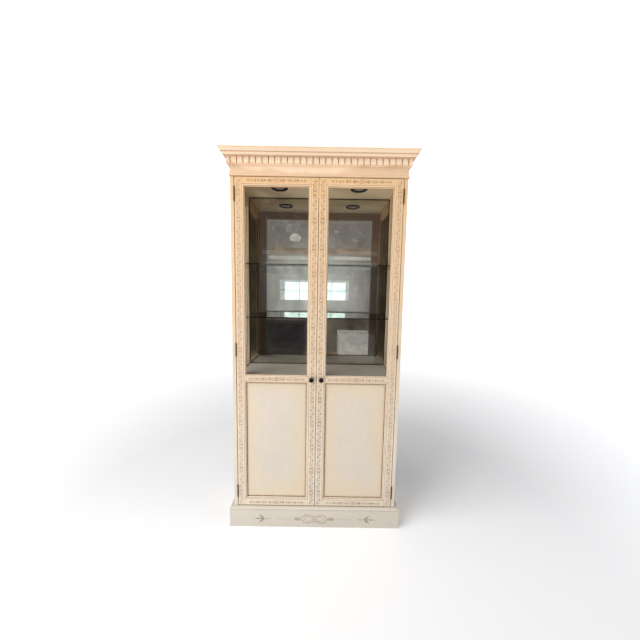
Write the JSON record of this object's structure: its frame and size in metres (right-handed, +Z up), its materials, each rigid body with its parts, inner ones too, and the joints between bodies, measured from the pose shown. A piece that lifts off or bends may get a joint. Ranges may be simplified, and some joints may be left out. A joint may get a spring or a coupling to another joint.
{
  "type": "curio cabinet",
  "caption": "Tall painted curio cabinet: mirror-backed display with glass shelves and ceiling lights over a cupboard, behind two hinged doors with glass above and flat panels below.",
  "frame": {"origin": "on the floor, at the middle of the footprint's width and depth, moulding projections included", "axes": "+X to the right as one faces the doors, +Y to the back against the wall, +Z up"},
  "size_m": [1.058, 0.395, 2.138],
  "materials": {
    "antique_cream": "satin antique cream paint with a brown glaze in the corners and stencilled scrolls",
    "plinth_cream": "satin greyish cream paint",
    "panel_cream": "satin cream paint, softly mottled",
    "interior_paint": "matt painted board",
    "back_board": "unfinished hardboard",
    "clear_glass": "clear float glass",
    "mirror_silver": "silvered glass",
    "black_knob": "glossy black lacquer",
    "dark_bronze": "aged bronze plate",
    "light_metal": "dark bronze enamel",
    "catch_plastic": "brown moulded plastic"
  },
  "bodies": {
    "case": {"plinth_front": "plinth_cream", "plinth_left": "plinth_cream", "plinth_right": "plinth_cream", "frieze_front": "antique_cream", "frieze_left": "antique_cream", "frieze_right": "antique_cream", "dentil_moulding": "antique_cream", "crown_front": "antique_cream", "crown_left": "antique_cream", "crown_right": "antique_cream", "top_board": "antique_cream", "left_side_front_stile": "antique_cream", "left_side_rear_post": "antique_cream", "left_side_top_rail": "antique_cream", "left_side_lower_board": "panel_cream", "left_side_glass": "clear_glass", "right_side_front_stile": "antique_cream", "right_side_rear_post": "antique_cream", "right_side_top_rail": "antique_cream", "right_side_lower_board": "panel_cream", "right_side_glass": "clear_glass", "cupboard_floor": "interior_paint", "display_deck": "interior_paint", "ceiling_board": "interior_paint", "cupboard_shelf": "interior_paint", "back_board": "back_board", "mirror": "mirror_silver", "lower_glass_shelf": "clear_glass", "upper_glass_shelf": "clear_glass", "left_ceiling_light": "light_metal", "right_ceiling_light": "light_metal", "door_catch": "catch_plastic", "left_bottom_hinge_case_leaf": "dark_bronze", "left_middle_hinge_case_leaf": "dark_bronze", "left_top_hinge_case_leaf": "dark_bronze", "right_bottom_hinge_case_leaf": "dark_bronze", "right_middle_hinge_case_leaf": "dark_bronze", "right_top_hinge_case_leaf": "dark_bronze"},
    "left_door": {"left_door_hinge_stile": "antique_cream", "left_door_meeting_stile": "antique_cream", "left_door_top_rail": "antique_cream", "left_door_mid_rail": "antique_cream", "left_door_bottom_rail": "antique_cream", "left_door_glass": "clear_glass", "left_door_panel": "panel_cream", "left_knob": "black_knob", "left_bottom_hinge_door_leaf": "dark_bronze", "left_middle_hinge_door_leaf": "dark_bronze", "left_top_hinge_door_leaf": "dark_bronze"},
    "right_door": {"right_door_hinge_stile": "antique_cream", "right_door_meeting_stile": "antique_cream", "right_door_top_rail": "antique_cream", "right_door_mid_rail": "antique_cream", "right_door_bottom_rail": "antique_cream", "right_door_glass": "clear_glass", "right_door_panel": "panel_cream", "right_knob": "black_knob", "right_bottom_hinge_door_leaf": "dark_bronze", "right_middle_hinge_door_leaf": "dark_bronze", "right_top_hinge_door_leaf": "dark_bronze"}
  },
  "joints": [
    {"name": "left_door_hinge", "type": "hinge", "parent": "case", "child": "left_door", "pos_m": [-0.4575, -0.1511, 1.0625], "axis": [0, 0, -1], "range_deg": [0, 160]},
    {"name": "right_door_hinge", "type": "hinge", "parent": "case", "child": "right_door", "pos_m": [0.4575, -0.1511, 1.0625], "axis": [0, 0, 1], "range_deg": [0, 160]}
  ]
}
